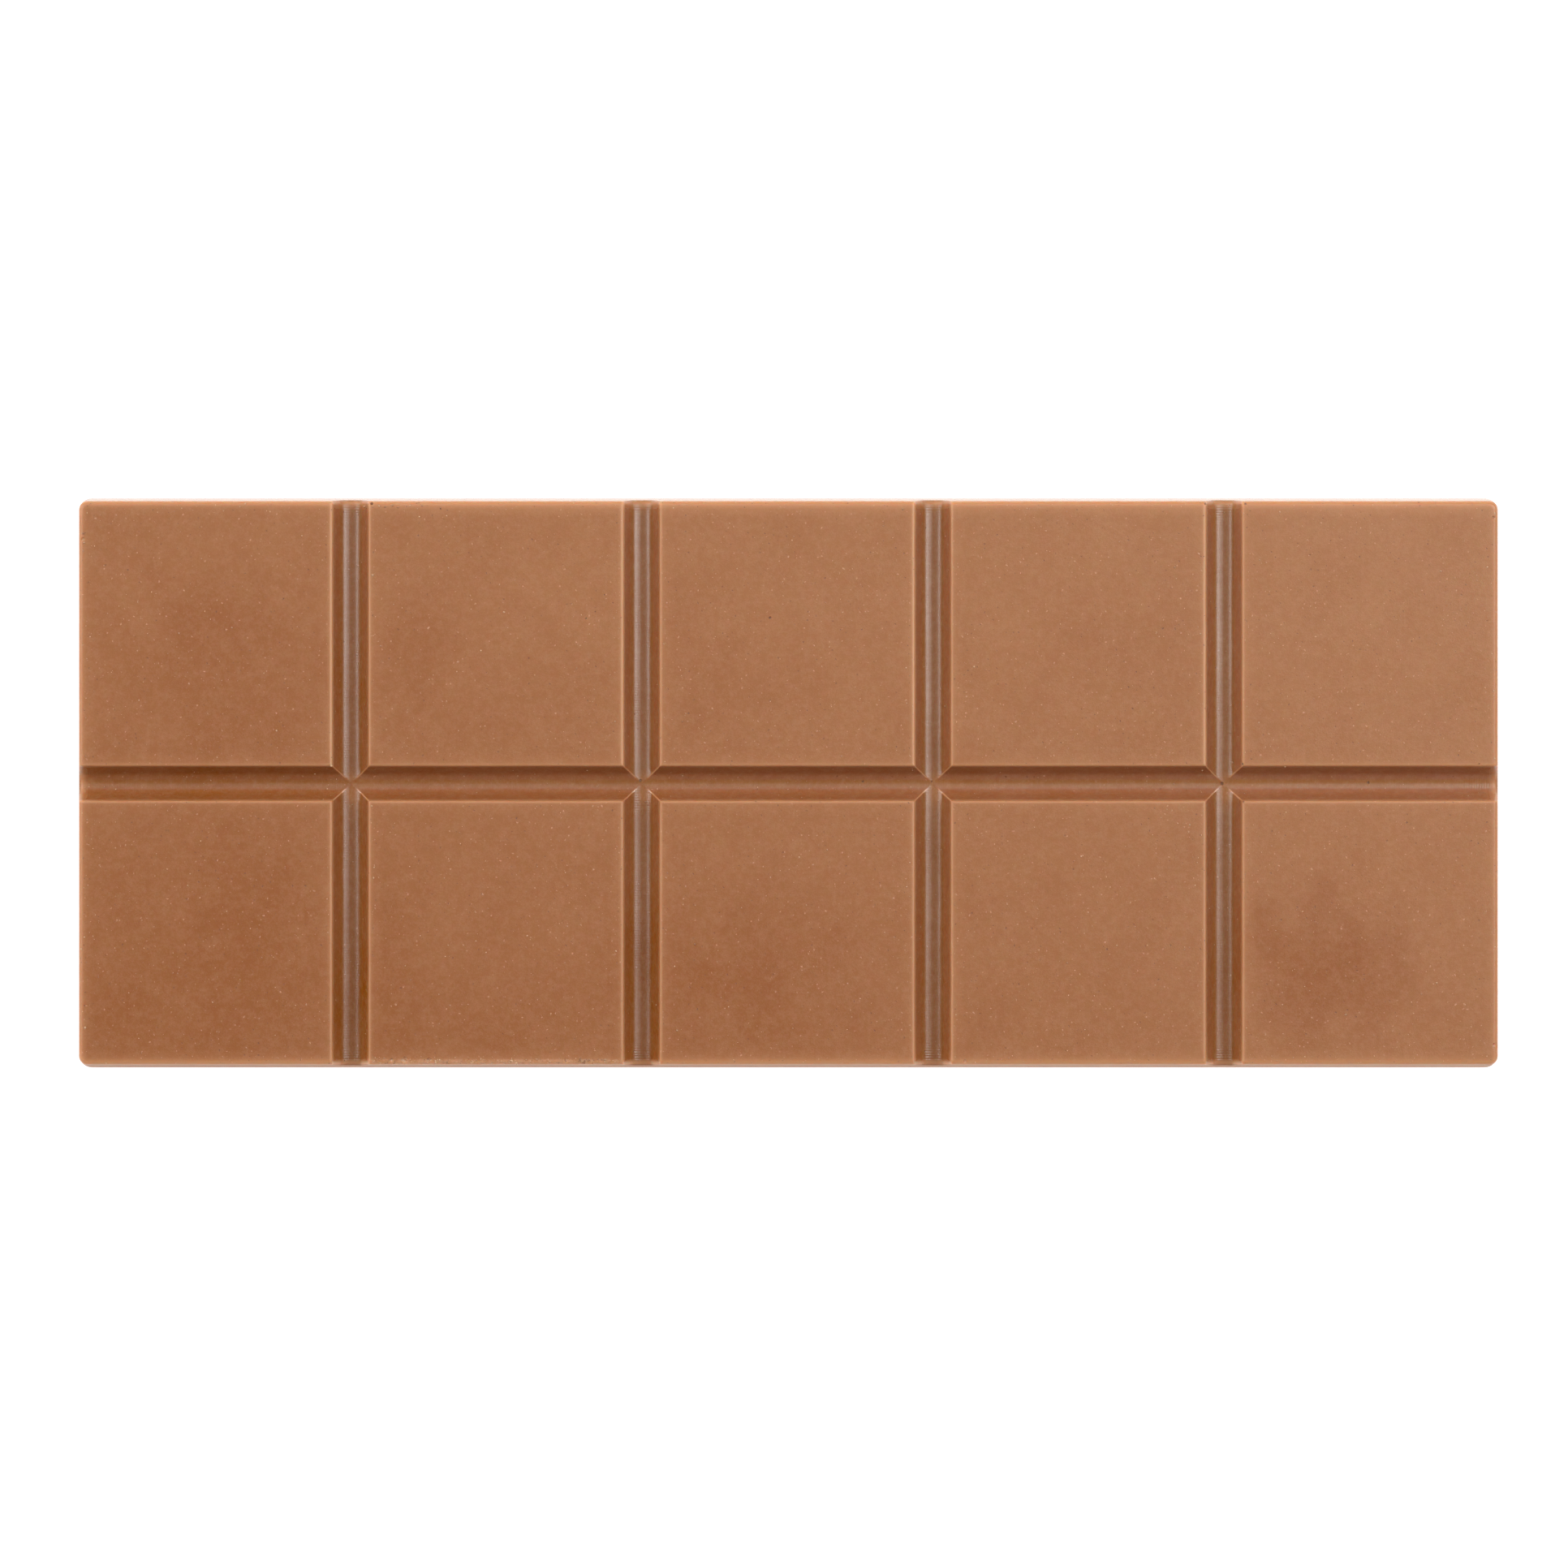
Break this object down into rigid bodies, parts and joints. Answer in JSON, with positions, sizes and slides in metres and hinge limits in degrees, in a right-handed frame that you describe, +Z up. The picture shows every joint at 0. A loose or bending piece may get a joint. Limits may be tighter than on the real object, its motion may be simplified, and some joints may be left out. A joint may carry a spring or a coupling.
{
  "type": "chocolate bar",
  "caption": "Thin moulded tablet of milk chocolate, parted into squares by straight round-bottomed grooves, with leaning sides and a flat back.",
  "frame": {"origin": "middle of the flat back, on the surface that the bar lies on", "axes": "+X along the bar, +Y across it, +Z up through the squares"},
  "size_m": [0.1208, 0.0484, 0.007],
  "materials": {
    "milk_chocolate": "satin"
  },
  "bodies": {
    "root": {"bar": "milk_chocolate"}
  },
  "joints": []
}
